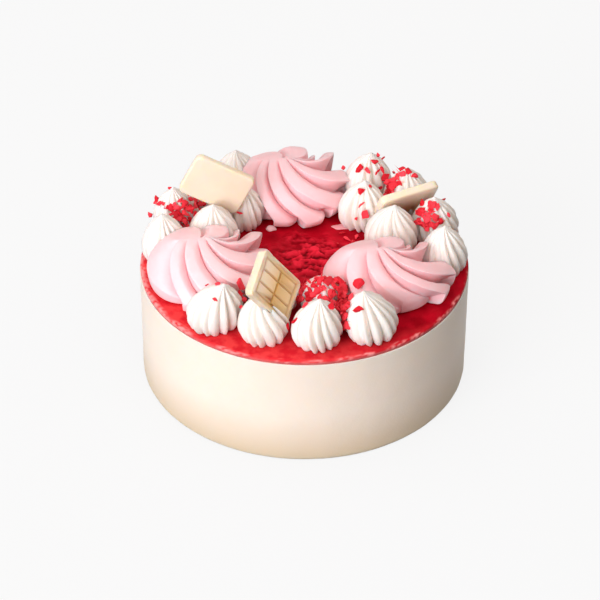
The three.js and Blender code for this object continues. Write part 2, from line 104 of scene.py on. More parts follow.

# The jelly's pale border, where it is thin over the cream, and wider and paler at the far left with
# painted light where the lamp shines through it: its width, how much wider it is at the far left and
# by what power that comes in, over what width it begins, and how it wanders.
BORDER_WIDTH = 0.9
BORDER_LIT_WIDER_LEFT = 2.5
BORDER_LEFT_POWER = 8
BORDER_SOFTNESS = 1.4
BORDER_WANDERING = (2.6, 7, 21)
# How pale it is, how much paler towards the left with painted light, and its patches.
BORDER_PALENESS = 0.35
BORDER_LIT_PALER_LEFT = 0.6
BORDER_PATCHES = (2.4, 1.3, 22)
# The side of the jelly pales too, partly as a pink fringe where it meets the cream and partly as
# painted light against the shade on it: from how far below its top, over what height, and how much.
PALE_SIDE_START = 0.6
PALE_SIDE_HEIGHT = 1.8
PALE_FRINGE_AND_LIT_SIDE = 0.7

# Piped stars: rings as (share of the radius, share of the height, depth of the grooves). The
# grooves at the foot are deeper than in the part.
STAR_RIDGES = 14
STAR_TWIST = 32
STAR_RINGS = [
    (0.84, 0, 0.2), (1, 0.2, 0.17), (0.92, 0.48, 0.17), (0.6, 0.74, 0.2), (0.2, 0.91, 0.25), (0, 1, 0.25),
]
# The power that shapes the ridges (less than 1 is blunt), how much deeper the grooves are than
# their rings say, how much more on one side of the star, and within what limits.
RIDGE_POWER = 0.75
STAR_GROOVE_GAIN = 1.35
STAR_GROOVE_BIAS = 0.35
STAR_GROOVE_LIMITS = (0.1, 1.6)
# Waves of (size, number in a turn) in the depth of the grooves, the radius and the direction of the
# ridges, and of (size, number of radians up the star) in that direction.
GROOVE_WAVES = ((0.4, 3), (0.2, 5))
RADIUS_WAVES = ((0.025, 2), (0.02, 5))
TURN_WAVES = ((0.05, 3), (0.03, 7))
DRIFT_WAVES = ((0.06, 4),)
WAVE_STARTS = (0, 6)
# Small unevenness, as (height, width of the lumps).
STAR_LUMPS = ((0.16, 3.5), (0.06, 1.2))
# A star's grooves are painted lighter, against the shade that falls deep in them: how steeply that
# comes in, and from where.
STAR_GROOVE_LIGHT_STEEPNESS = 1.6
STAR_GROOVE_LIGHT_START = 0.6
# Where each stands: x, y, radius, height, lean of the tip (x, y) and turn in degrees.
STARS = {
    "star_front_1": (-39.7, -48.2, 12.2, 23, 5.4, -2.2, 0),
    "star_front_2": (-17.6, -56.4, 11.6, 22, -1.5, -0.5, 9),
    "star_front_3": (5.6, -60, 11.5, 23, 1.4, -0.8, 4),
    "star_front_4": (29.3, -54.4, 12.2, 23, -3.6, -0.5, 14),
    "star_front_inner_1": (-12.4, -34, 10.3, 19, 0, 0, 3),
    "star_front_inner_2": (8.6, -36.8, 10.4, 19, -0.8, -2, 11),
    "star_right_1": (62.9, -5.6, 11, 23, 0, 0, 6),
    "star_right_2": (60, 19, 11, 22.5, -1, -1, 17),
    "star_right_3": (47.8, 41, 11.3, 23, 0, 0, 0),
    "star_right_4": (29.4, 53.6, 11.6, 23, 1.5, 0, 8),
    "star_right_inner_1": (39.5, 9.8, 12.3, 23, 1.4, 0.8, 12),
    "star_right_inner_2": (26.8, 30.2, 11.4, 23, 1, 0, 2),
    "star_left_1": (-63.5, 2.8, 10.8, 23, -0.6, 0, 10),
    "star_left_2": (-59, 24.2, 10.8, 23, -1.2, 0, 5),
    "star_left_3": (-46.6, 41.4, 11, 22, 0, 0, 15),
    "star_left_4": (-32, 54, 11.6, 24, -0.2, -0.5, 1),
    "star_left_inner_1": (-41.6, 10.4, 12, 23, 0.2, -0.2, 7),
    "star_left_inner_2": (-29.2, 29, 10.4, 21.5, 1.5, -1.5, 13),
}
# The star under the thickest heap of flakes, whose cream is painted pink and lighter, as red light
# bounced from the flakes into the shade there.
PINK_LIT_STAR = "star_front_inner_2"

# Rosettes: rings from the peak outwards, as (share of the way to the rim, height, how far a valley
# is set in and down, how much of its petal's own lift a crest takes).
ROSETTE_HEIGHT = 22
ROSETTE_RADII = (29.5, 25.5)
ROSETTE_PEAK = (-9.5, 1)
ROSETTE_TWIST = 45
# The petals start along a short line through the peak: its length, how far its middle is from the
# peak, its direction in degrees and how fast the petals close up beyond it.
CROWN_LENGTH = 15
CROWN_PLACE = 0.5
CROWN_TURN = 8
CROWN_FADE = 1.6
ROSETTE_RINGS = [
    (0, 1, 0, 0, 0),
    (0.14, 0.985, 0.25, 0.08, 0),
    (0.32, 0.93, 0.12, 0.17, 0.1),
    (0.52, 0.84, 0.1, 0.24, 0.3),
    (0.72, 0.7, 0.12, 0.3, 0.6),
    (0.88, 0.53, 0.16, 0.28, 0.85),
    (0.975, 0.38, 0.22, 0.2, 1),
    (1, 0.28, 0.24, 0.16, 1),
    (0.94, 0.05, 0.2, 0, 0.1),
    (0.8, 0, 0.14, 0, 0),
]
# The share of the rings that lie above the rim, where the petals turn.
ROSETTE_UPPER_RINGS = 7 / 9
# How flat the petals of a rosette are on top, anticlockwise, and how much flatter at the peak.
PETAL_FLATNESS = (2.2, 2.2, 2.2, 2.4, 2.2, 1.6, 2.6, 4.5)
PEAK_FLATNESS = 2.5
# Powers that set a petal's crest near its start and crowd its columns there, and how far the start
# hangs over the petal before, as a share of a width up to so many degrees.
CREST_SKEW = 0.5
COLUMN_BIAS = 1.5
PETAL_OVERHANG = 0.25
WIDEST_OVERHANG = 30
# Small unevenness, as (height, width of the lumps), which comes in over this height.
ROSETTE_LUMPS = (0.3, 5)
ROSETTE_FOOT = 4
# The shade in the valleys: how deep it gets, how narrow it is, and for what drop and groove of a
# ring it is full.
VALLEY_SHADE = 0.8
VALLEY_NARROWNESS = 3.5
FULL_DROP = 0.25
FULL_GROOVE = 0.4
ROSETTE_SEED = 31
# Each rosette: x, y, its two scales, where its petals start at the rim in degrees, their lengths
# as shares of the way to the rim, and how far their ends lift in mm.
ROSETTES = {
    "rosette_left": (
        -41, -16.4, 0.96, 1.14,
        (-98, -62, -27, 1, 32, 45, 54, 108),
        (1, 0.97, 1, 1, 1.1, 0.94, 0.85, 1.07),
        (-1, -0.5, 0, 1, 2, 3, 5, 1),
    ),
    "rosette_back": (
        -5.2, 48, 0.98, 1,
        (-88, -60, -32, 3, 34, 46, 54, 108),
        (1.03, 1.06, 0.95, 0.97, 1.02, 0.85, 0.8, 1.03),
        (-2.6, -2.2, -0.5, 1.5, 5.5, 4, 8, 1),
    ),
    "rosette_right": (
        38.2, -23.2, 1, 0.98,
        (-102, -54, -21, 1, 33, 45, 54, 108),
        (0.98, 0.82, 0.97, 1, 0.93, 0.78, 0.78, 1.03),
        (-1, 0.5, 0, 1, 6, 4, 7, 1),
    ),
}

# Low smears of pink cream on the jelly: where, their half length, width and height, and how pink.
SMEARS = {
    "smear_left": ((-15.6, 24), (3, 1.9, 1.6), 0.1),
    "smear_right": ((17, 26), (4.6, 2, 0.4), 0.7),
}
SMEAR_RAGGEDNESS = (0.35, 2.6, 41)
SMEAR_RINGS = 14
SMEAR_COLUMNS = 40

# Chocolate plaques, softer than in the part, but for the moulded one's corners: these stop at the
# grid of the pads, 2 mm in, where they leave faces of no area.
PLAQUE_LENGTH = 29.5
PLAQUE_WIDTH = 22
PLAQUE_THICKNESS = 3.8
PLAQUE_CORNER = 3
PLAQUE_SOFTENING = 1
PAD_SOFTENING = 0.6
PADS = (2, 3)
PAD_PITCH = (12.6, 6)
GROOVE_WIDTH = 0.6
GROOVE_DEPTH = 0.7
GROOVE_SLOPE = 0.9
# The angle from which an edge is softened, in radians, and the steps of each softening.
SHARP_ANGLE = 0.45
CORNER_STEPS = 5
EDGE_STEPS = 4
PAD_STEPS = 3
# Where each stands: its middle, its long and short directions, and if its moulded side shows.
PLAQUES = {
    "plaque_front": ((-13.5, -52, 78.4), (0.517, 0.281, -0.809), (0.286, 0.833, 0.473), True),
    "plaque_left": ((-40, 20, 83.7), (0.895, -0.026, -0.445), (-0.445, 0.028, -0.895), False),
    "plaque_right": ((46, 26.7, 69.7), (0.894, 0.447, 0.023), (-0.2, 0.45, -0.87), False),
}
# How much painted warm shade and glow the moulded plaque gets, part by part: a little all over, more
# in its panel, on its lower half and in its grooves, and a glow of light through it along the middle
# groove; and over what length that of its lower half comes in. That of the middle groove starts
# above 1, to have some width, and fades over a length.
PAINTED_WARMTH = {"plate": 0.06, "panel": 0.12, "lower half": 0.4, "grooves": 0.1, "middle groove": 0.4}
PANEL_MARGIN = 0.1
LOWER_HALF_REACH = 8
MIDDLE_GROOVE_START = 1.3
MIDDLE_GROOVE_REACH = 2
# The plaque whose low edge has a painted glow, as of light coming through it, and how far up the
# glow goes.
GLOWING_PLAQUE = "plaque_right"
LOW_GLOW = 11

# The larger flakes, by star: (direction in degrees, share of its height, how far out, size).
FLAKES = {
    "star_front_1": [(20, 0.6, 1, 4.6), (12, 0.5, 1.4, 4.4), (-14, 0.5, 0.4, 4.2), (128, 0.88, 0, 3.8)],
    "star_front_3": [(-8, 0.83, 0.6, 4.2), (166, 0.78, 0.4, 4.2)],
    "star_front_4": [
        (-122, 0.75, 0.4, 4.8), (-146, 0.37, 0.6, 4.8), (-174, 0.52, 0.6, 5), (160, 0.75, 0.4, 4),
    ],
    "star_front_inner_2": [
        (-50, 0.42, 0.6, 5.6), (-58, 0.67, 0.4, 5.6), (-4, 0.61, 0.4, 4.6), (-76, 0.79, 0.2, 4.6),
        (-108, 0.74, 0.2, 4.6), (-132, 0.56, 0.4, 5.6), (-176, 0.49, 0.2, 5),
    ],
    "star_left_2": [
        (164, 0.62, 1, 4.4), (-144, 0.71, 0.2, 4.4), (-102, 0.69, 0.2, 4.6), (-78, 0.68, 0.4, 4.6),
        (-44, 0.74, 0.4, 4.6), (-34, 0.62, 0.6, 5), (-60, 0.57, 0.4, 4.6),
    ],
    "star_left_3": [(-108, 0.39, 0.4, 4.4)],
    "star_right_2": [
        (172, 0.79, 0.4, 4.8), (-120, 0.88, 0.2, 5.2), (-158, 0.72, 0.4, 4.6), (-122, 0.73, 0.2, 4.6),
        (-90, 0.69, 0.2, 5), (-74, 0.62, 0.2, 4.2), (-142, 0.55, 0.4, 5.2), (-100, 0.55, 0.2, 4.2),
        (-42, 0.68, 0.2, 4), (-72, 0.85, 0.2, 4),
    ],
    "star_right_3": [
        (-160, 0.6, 0.4, 4.8), (-146, 0.69, 0.2, 4.4), (128, 0.84, 0.4, 4.8), (-148, 0.89, 0.2, 4.4),
        (-42, 0.86, 0.2, 4.8), (-90, 0.95, 0.2, 4),
    ],
    "star_right_4": [
        (-132, 0.75, 0.4, 5.4), (-94, 0.76, 0.2, 4.4), (-60, 0.87, 0.2, 5), (30, 0.84, 0.2, 4.2),
        (-38, 0.69, 0.2, 4), (-40, 0.57, 0.4, 5), (-36, 0.45, 0.6, 5.4),
    ],
    "star_right_inner_2": [(-116, 0.86, 0.2, 4.6), (-86, 0.51, 0.4, 5.6)],
}
# The smaller ones.
CRUMBS = {
    "star_front_1": [(-110, 0.78, 0, 3), (132, 0.74, 1.4, 2.8)],
    "star_front_2": [(-16, 0.32, 0.2, 3.7)],
    "star_front_3": [(-168, 0.54, 0.2, 3.5)],
    "star_front_inner_1": [(-18, 0.24, 0.2, 3.6), (16, 0.48, 1.2, 3)],
    "star_front_inner_2": [
        (-164, 0.8, 0, 2.6), (-90, 0.94, 0, 2.8), (150, 0.85, 0.2, 3.4), (170, 0.75, 0.2, 3.2),
        (-170, 0.88, 0.2, 3.4), (130, 0.92, 0, 3), (180, 0.65, 0.2, 3.5), (-150, 0.92, 0, 3.3),
        (100, 0.9, 0, 2.8), (-120, 0.86, 0.2, 3.4), (160, 0.6, 0.2, 3), (-176, 0.58, 0.4, 3.5),
        (-140, 0.7, 0.4, 3.4), (-60, 0.9, 0.2, 3.3), (-20, 0.86, 0.2, 3.4),
    ],
    "star_left_2": [
        (172, 0.58, 0.6, 3.6), (-160, 0.66, 0.2, 3.7), (-122, 0.69, 0.2, 3.7), (18, 0.74, 0, 2.6),
        (146, 0.92, 0.4, 2.8), (-90, 0.76, 0, 3), (180, 0.33, 1.6, 3.7), (-82, 0.51, 0.2, 3.6),
        (-64, 0.45, 0.4, 3.4), (4, 0.69, 0.2, 3.7), (0, 0.55, 0.4, 3.7), (-16, 0.44, 1, 3.6),
        (-36, 0.72, 0.2, 3.4), (-56, 0.8, 0.2, 3.4), (-20, 0.6, 0.4, 3.5), (-30, 0.5, 1.2, 3.6),
    ],
    "star_left_3": [
        (-150, 0.63, 0, 3), (-84, 0.47, 0, 2.2), (-68, 0.45, 0, 2.2), (-50, 0.28, 0, 3),
        (-132, 0.43, 0.6, 3.7), (-114, 0.45, 0.4, 3.7), (-114, 0.31, 0.8, 3.7), (-100, 0.4, 0.4, 3.5),
        (-100, 0.26, 0.8, 3.6), (-90, 0.41, 0.2, 3), (-112, 0.13, 1.6, 3.7), (-122, 0.36, 1.4, 3.6),
    ],
    "star_left_inner_2": [
        (-146, 0.58, 0, 2.2), (-100, 0.54, 0, 2.8), (-174, 0.46, 0.4, 3), (-140, 0.54, 0, 2),
        (-116, 0.58, 0.2, 2.6),
    ],
    "star_right_2": [(54, 0.74, 0.4, 3.3), (-112, 0.48, 0, 3.3)],
    "star_right_3": [(-28, 0.41, 0, 3.5), (-64, 0.42, 0, 3.3), (-104, 0.44, 0, 3.5)],
    "star_right_4": [
        (-62, 0.7, 0, 2.8), (158, 0.48, 1.8, 3.5), (32, 0.74, 0.6, 2.6), (-58, 0.41, 0, 2.8),
        (4, 0.48, 1.2, 3.5),
    ],
    "star_right_inner_2": [(-30, 0.89, 0, 2.8), (-98, 0.65, 0, 2.8), (-106, 0.37, 0, 2.2)],
}
# Heaps: (star, direction, spread, lowest share, highest share, furthest out, how many).
HEAPS = [
    ("star_front_inner_2", -100, 70, 0.35, 0.95, 1.4, 6),
    ("star_front_inner_2", -20, 35, 0.3, 0.8, 3.6, 6),
    ("star_front_3", 40, 30, 0.4, 0.72, 1.4, 3),
    ("star_front_4", 172, 26, 0.3, 0.7, 1.8, 4),
    ("star_left_2", -66, 34, 0.4, 0.66, 1.6, 4),
    ("star_right_2", -125, 45, 0.5, 0.85, 1, 3),
    ("star_right_3", -155, 25, 0.45, 0.8, 2, 3),
]
HEAP_FLAKE_SIZES = (4.4, 6.6)
# Each flake in a heap comes with this many finer ones, which spread this much wider round the star,
# this share of its height further up and down, and this far into the cream.
HEAP_CRUMBS = 5
HEAP_CRUMB_SIZES = (2, 4.6)
HEAP_CRUMB_SPREAD = 1.1
HEAP_CRUMB_MARGIN = 0.04
HEAP_CRUMB_SINK = 0.3
# Flakes on the rosettes and the jelly: where, which way each faces, how level, its size and seed.
OTHER_FLAKES = [
    ((-27.9, -38.8, 70.7), -60, 0.6, 5.8, 1),
    ((23.7, -40.3, 72.6), -120, 0.6, 6.8, 2),
    ((19.6, 15.5, 56.8), 40, 1.2, 3.2, 3),
    ((22, 13, 56.8), -30, 1.2, 3.4, 4),
    ((17.6, 20.4, 56.8), 90, 1.2, 2.6, 5),
    ((24.4, 17, 56.8), 0, 1.2, 3, 6),
    ((15.4, 11.6, 57), 0, 1.2, 2.2, 7),
]
# A star's flakes have seeds from this times its number.
STAR_FLAKE_SEEDS = 1000
# A flake of size 1: its corners and how far out they lie, its bevel, the height and width of its
# roughness, how many patterns of that there are, and its shape.
FLAKE_CORNERS = 11
FLAKE_REACH = (0.4, 0.56)
FLAKE_BEVEL = 0.05
FLAKE_ROUGHNESS = (0.14, 0.17)
FLAKE_PATTERNS = 97
FLAKE_SHAPE = (1.1, 0.9, 0.6)
# Half of those smaller than this, in mm, are thin splinters.
SPLINTER_SIZE = 3.6
SPLINTER_SHAPE = (1.7, 0.6, 0.45)
# How a flake lies: its spin and random tilt in radians, and how many degrees flatter it lies at the
# top of a star than at its foot.
FLAKE_SPIN = 6.28
FLAKE_TILT = 0.35
FLAKE_LEVELLING = 70
# What a step of the seed adds to the shade of a flake's red.
SHADE_STEP = 0.618

# Creams: the colour, another where a piece's shade is deep, and how far red, green and blue light
# spread inside, as shares of LIGHT_SPREAD. That other colour is painted light deep in the grooves of
# the stars, painted shade at the foot of the wall, and a pinker tint on the smears. The pink lit cream
# is the white one painted pink and lighter, as red light bounced from the flakes into shade.
CREAMS = {
    "white cream": ((0.8, 0.725, 0.672), (0.98, 0.91, 0.85), (1, 0.75, 0.6)),
    "pink lit cream": ((0.99, 0.7, 0.67), (0.98, 0.8, 0.76), (1, 0.6, 0.5)),
    "yogurt cream": ((0.91, 0.772, 0.655), (0.66, 0.5, 0.33), (1, 0.8, 0.6)),
    "smeared cream": ((0.93, 0.6, 0.62), (0.92, 0.3, 0.33), (0.1, 0.1, 0.1)),
}
CREAM_ROUGHNESS = 0.5
# How dark the faint clouds in a cream are.
CREAM_CLOUDS = 0.975
# The rosettes' pink, as lit and shaded copies of one cream: painted lighter on the left one, where the lamp
# falls more directly, and darker on the right one.
ROSETTE_LIT_AND_SHADED_COLOURS = {
    "rosette_left": (0.94, 0.61, 0.63),
    "rosette_back": (0.94, 0.58, 0.605),
    "rosette_right": (0.89, 0.55, 0.57),
}
# The deeper pink of the painted shade in the rosettes' valleys.
ROSETTE_CREASE_SHADE = (0.92, 0.42, 0.47)
ROSETTE_SPREAD = (1, 0.35, 0.35)
ROSETTE_ROUGHNESS = 0.45
LIGHT_SPREAD = 0.005
TRANSLUCENCY = 0.7

# The jelly's darker and lighter red: painted shade towards the back right, painted light towards the
# front left. Then its painted shade in hollows; its colour on folds, partly thinner jelly and partly a
# painted highlight; and at its border, partly its own pale edge and partly painted light.
JELLY_SHADED = ((0.27, 0.001, 0.006), (0.5, 0.004, 0.016))
JELLY_LIT = ((0.64, 0.014, 0.024), (0.79, 0.048, 0.05))
JELLY_HOLLOW_SHADE = (0.13, 0, 0.003)
JELLY_FOLD_AND_HIGHLIGHT = (0.78, 0.02, 0.045)
JELLY_BORDER_AND_LIGHT = (0.84, 0.27, 0.26)
# The middle of its painted shade, and how far from there the painted light starts and is full.
JELLY_SHADE_CENTRE = (0.022, 0.02, 0.056)
JELLY_LIGHT_RISE = (0.074, 0.096)

FLAKE_COLOURS = ((0.6, 0.004, 0.016), (0.95, 0.055, 0.08))

CHOCOLATE_COLOURS = ((0.78, 0.655, 0.5), (0.83, 0.7, 0.56))
# The orange-brown of the moulded plaque's painted warm shade and glow.
CHOCOLATE_WARM_SHADE = (0.63, 0.31, 0.03)
# The orange of the painted glow at the glowing plaque's low edge.
CHOCOLATE_GLOW = (1, 0.56, 0.14)
CHOCOLATE_SPREAD = (1, 0.55, 0.22)

# Where on a noise the first and the last of two colours lie, unless said otherwise.
RAMP_PLACES = (0.3, 0.7)
NOISE_DETAIL = 3
BUMP_DISTANCE = 0.0003

# The camera stands where the photograph was taken from.
CAMERA_PLACE = (0, -925.989, 725.891)
CAMERA_AHEAD = (-0.00166339, 0.80065453, -0.59912399)
CAMERA_UP = (-0.00521693, 0.59910972, 0.80064994)
CAMERA_LENS = 150.69
CAMERA_SENSOR = 36
CAMERA_CLIP_START = 0.01

# The light overhead, and how far below level it has faded to nothing, as the sine of the angle.
SKY_OVERHEAD = 1.27
SKY_END = -0.12
SKY_COLOUR = (1, 0.955, 0.92)
# A large soft lamp at the front left, and a weak one lower down.
KEY_PLACE = (-2.18, -2.93, 1.3)
KEY_SIZE = 2.4
KEY_POWER = 161
KEY_COLOUR = (0.91, 0.94, 1)
FILL_PLACE = (-0.7, -3.2, 0.5)
FILL_SIZE = 2
FILL_POWER = 14
FILL_COLOUR = (1, 1, 1)
LAMP_TARGET = (0, 0, 0.05)

# The floor shines by itself, so that it is evenly pale.
FLOOR_HALF = 6
FLOOR_COLOUR = (0.1, 0.1, 0.101)
FLOOR_SHINE = 0.825


def lumps(points, width, seed):
    """Soft unevenness between about -1 and 1 whose lumps are about that wide."""
    shift = Vector([step * seed for step in SEED_STEPS])
    values = [noise.noise(Vector(point) / width + shift) for point in points.reshape(-1, 3)]
    return np.array(values).reshape(points.shape[:-1])


def unevenness(points, *layers):
    """Lumps added up from layers of (height, width of the lumps, seed)."""
    return sum(height * lumps(points, width, seed) for height, width, seed in layers)


def waves(random, along, middle, kinds):
    """Waves about a middle value, added up from kinds of (size, number of waves)."""
    heights = (size * np.sin(count * along + random.uniform(*WAVE_STARTS)) for size, count in kinds)
    return sum(heights, middle)


def between_rings(rings, count):
    """Rings given as rows of numbers, refined to count rows by a smooth curve through them."""
    rows = np.array(rings, float)
    rows = np.vstack([2 * rows[0] - rows[1], rows, 2 * rows[-1] - rows[-2]])
    places = np.linspace(0, len(rings) - 1, count)
    first = np.minimum(places.astype(int), len(rings) - 2)
    t = (places - first)[:, None]
    a, b, c, d = (rows[first + i] for i in range(4))
    return 0.5 * (2 * b + (c - a) * t + (2 * a - 5 * b + 4 * c - d) * t**2 + (3 * b - a - 3 * c + d) * t**3)


def quarter_turn(count):
    """The cosine and sine of that many angles from 0 to a quarter turn."""
    return [(math.cos(angle), math.sin(angle)) for angle in np.linspace(0, np.pi / 2, count)]


def revolved(profile, columns):
    """Rings of points round the axis of the cake, from a profile of (radius, height)."""
    reach, height = np.array(profile).T[:, :, None]
    angle = np.linspace(0, 2 * np.pi, columns, endpoint=False)
    return np.stack([reach * np.cos(angle), reach * np.sin(angle), height + 0 * angle], -1)


def new_piece(name, points, faces, material, slot, replaced=(), smooth=True, **shades):
    """A mesh in the scene, from points in mm, that rides on the cake. Each shade is a value a point."""
    mesh = bpy.data.meshes.new(name)
    mesh.from_pydata((np.asarray(points).reshape(-1, 3) * MM).tolist(), [], faces)
    mesh.polygons.foreach_set("use_smooth", [smooth] * len(mesh.polygons))
    mesh.materials.append(material)
    for kind, values in shades.items():
        mesh.attributes.new(kind, "FLOAT", "POINT").data.foreach_set("value", values)
    piece = bpy.data.objects.new(name, mesh)
    bpy.context.scene.collection.objects.link(piece)
    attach(piece, "root")
    if replaced:
        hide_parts(*replaced)


def ring_faces(ring_count, column_count):
    """Faces of a closed surface of rings, whose two poles are the points after the last ring."""
    faces = []
    first_pole = ring_count * column_count
    for column in range(column_count):
        beside = (column + 1) % column_count
        for ring in range(ring_count - 1):
            low, high = ring * column_count, (ring + 1) * column_count
            faces.append((low + column, low + beside, high + beside, high + column))
        last = (ring_count - 1) * column_count
        faces.append((first_pole, beside, column))
        faces.append((first_pole + 1, last + column, last + beside))
    return faces


def closed_piece(name, rings, first_pole, last_pole, *rest, **shades):
    """A closed surface through rings of points. Its poles have no shade."""
    points = np.vstack([rings.reshape(-1, 3), [first_pole], [last_pole]])
    shades = {kind: np.append(values.reshape(-1), [0, 0]) for kind, values in shades.items()}
    new_piece(name, points, ring_faces(*rings.shape[:2]), *rest, **shades)


def star_rings(star, seed, ring_count=44, columns_per_ridge=12):
    """The points of one piped star, base first, and how much painted light each gets deep in its grooves."""
    x, y, radius, height, lean_x, lean_y, turn = star
    random = np.random.default_rng(seed)
    columns = STAR_RIDGES * columns_per_ridge
    reach, share, groove = between_rings(STAR_RINGS, ring_count + 1)[:-1].T[:, :, None]
    angle = np.linspace(0, 2 * np.pi, columns, endpoint=False)[None, :]
    valley = 1 - np.abs(np.cos(angle * STAR_RIDGES / 2)) ** RIDGE_POWER
    deeper = waves(random, angle, 1, GROOVE_WAVES)
    deeper = np.clip(deeper + STAR_GROOVE_BIAS * np.cos(angle), *STAR_GROOVE_LIMITS)
    uneven = waves(random, angle, 1, RADIUS_WAVES)
    warp = waves(random, angle, 0, TURN_WAVES)
    drift = waves(random, share, 0, DRIFT_WAVES)
    real = angle + np.radians(turn - STAR_TWIST * share) + warp + drift
    out = radius * reach * uneven * (1 - STAR_GROOVE_GAIN * groove * deeper * valley)
    rings = np.stack([
        x + share**2 * lean_x + out * np.cos(real),
        y + share**2 * lean_y + out * np.sin(real),
        TOPPING_BASE + height * np.clip(share, 0, 1) + 0 * real,
    ], -1)
    outward = np.stack([np.cos(real), np.sin(real), 0 * real], -1)
    soft = unevenness(rings, *((size, width, seed) for size, width in STAR_LUMPS))
    smooth_tip = np.clip(2 * reach, 0, 1)
    rings += outward * soft[..., None] * smooth_tip[..., None]
    # Painted light deep in the grooves, against the shade that falls there.
    shade = np.clip(STAR_GROOVE_LIGHT_STEEPNESS * valley - STAR_GROOVE_LIGHT_START, 0, 1)
    return rings, shade + 0 * real


def plaque_axes(name):
    """A plaque's own long, short and outward directions, as the rows of a matrix."""
    _, along, across, _ = PLAQUES[name]
    x = Vector(along).normalized()
    z = x.cross(Vector(across)).normalized()
    return Matrix((x, z.cross(x), z))


def clear_of_plaques(points):
    """Points in a plaque or grazing its face, moved to its middle, where they can't be seen."""
    reach = np.array([PLAQUE_LENGTH, PLAQUE_WIDTH, PLAQUE_THICKNESS + GAP]) / 2
    for name, (middle, *_) in PLAQUES.items():
        axes = np.array(plaque_axes(name))
        own = (points - np.array(middle)) @ axes.T
        inside = (np.abs(own) < reach).all(-1)
        points[inside] -= own[inside][:, 2:] * axes[2]
    return points


def make_star(name, number, material):
    """A piped star of whipped cream."""
    star = STARS[name]
    x, y, _, height, lean_x, lean_y, _ = star
    rings, shade = star_rings(star, number)
    base = (x, y, TOPPING_BASE)
    tip = (x + lean_x, y + lean_y, TOPPING_BASE + height)
    closed_piece(
        name + "_cream", clear_of_plaques(rings), base, tip, material, "whipped_cream", (name,), shade=shade)


def rim_distance(angle):
    """From a rosette's peak to its oval rim, in that direction."""
    a, b = ROSETTE_RADII
    x, y = ROSETTE_PEAK
    c, s = np.cos(angle), np.sin(angle)
    square = (c / a) ** 2 + (s / b) ** 2
    half = (x * c) / a**2 + (y * s) / b**2
    rest = (x / a) ** 2 + (y / b) ** 2 - 1
    return (-half + np.sqrt(half**2 - square * rest)) / square


def petal_columns(starts, lengths, lifts, columns_per_petal):
    """The columns of a rosette: angle, share of the way across the petal, and its petal's traits."""
    rows = []
    for number, start in enumerate(starts):
        after = starts[(number + 1) % len(starts)]
        width = (after - start) % 360
        for column in range(columns_per_petal):
            share = (column / columns_per_petal) ** COLUMN_BIAS
            over = PETAL_OVERHANG * math.sin(math.pi * min(share * 2, 1)) * min(width, WIDEST_OVERHANG)
            angle = math.radians(start + width * share - over)
            rows.append((angle, share, PETAL_FLATNESS[number], lengths[number], lifts[number]))
    return np.array(rows).T[:, None, :]


def rosette_rings(rosette, seed, ring_count=80, columns_per_petal=44):
    """The points of one rosette from the peak outwards, and how much painted shade each gets in a valley."""
    x, y, wide, deep, starts, lengths, lifts = rosette
    rings = between_rings(ROSETTE_RINGS, ring_count)[1:]
    reach, height, groove, drop, lift = rings.T[:, :, None]
    angle, share, flatness, length, petal_lift = petal_columns(starts, lengths, lifts, columns_per_petal)
    flatness = flatness + PEAK_FLATNESS * np.clip(1 - reach, 0, 1)
    crest = 1 - np.abs(2 * share**CREST_SKEW - 1) ** flatness
    over_rim = (np.arange(len(rings)) < len(rings) * ROSETTE_UPPER_RINGS)[:, None]
    twist = np.where(over_rim, ROSETTE_TWIST * (1 - reach**2), 0)
    real = angle - np.radians(twist)
    long = 1 + (length - 1) * reach * crest
    out = rim_distance(angle) * reach * long * (1 - groove * (1 - crest))
    up = ROSETTE_HEIGHT * (height - drop * (1 - crest)) + petal_lift * lift * crest
    crown = np.where(over_rim, np.clip(1 - reach, 0, 1) ** CROWN_FADE, 0)
    along = crown * (CROWN_PLACE + CROWN_LENGTH / 2 * np.cos(real))
    turn = math.radians(CROWN_TURN)
    points = np.stack([
        x + wide * (ROSETTE_PEAK[0] + along * math.cos(turn) + out * np.cos(real)),
        y + deep * (ROSETTE_PEAK[1] + along * math.sin(turn) + out * np.sin(real)),
        TOPPING_BASE + np.maximum(up, 0) + 0 * real,
    ], -1)
    points[..., 2] += unevenness(points, (*ROSETTE_LUMPS, seed)) * np.clip(up / ROSETTE_FOOT, 0, 1)
    # Painted shade in the valleys.
    narrow = np.clip(1 - VALLEY_NARROWNESS * crest, 0, 1)
    full = np.clip(drop / FULL_DROP + groove / FULL_GROOVE, 0, 1)
    return points, VALLEY_SHADE * narrow * full


def make_rosette(name, number, material):
    """A large swirl of pink cream."""
    rosette = ROSETTES[name]
    x, y, wide, deep = rosette[:4]
    rings, shade = rosette_rings(rosette, number)
    turn = math.radians(CROWN_TURN)
    peak_x = ROSETTE_PEAK[0] + CROWN_PLACE * math.cos(turn)
    peak_y = ROSETTE_PEAK[1] + CROWN_PLACE * math.sin(turn)
    base = (x, y, TOPPING_BASE)
    top = (x + wide * peak_x, y + deep * peak_y, TOPPING_BASE + ROSETTE_HEIGHT)
    closed_piece(
        name + "_cream", rings[::-1], base, top, material, "pink_cream", (name,), shade=shade[::-1])


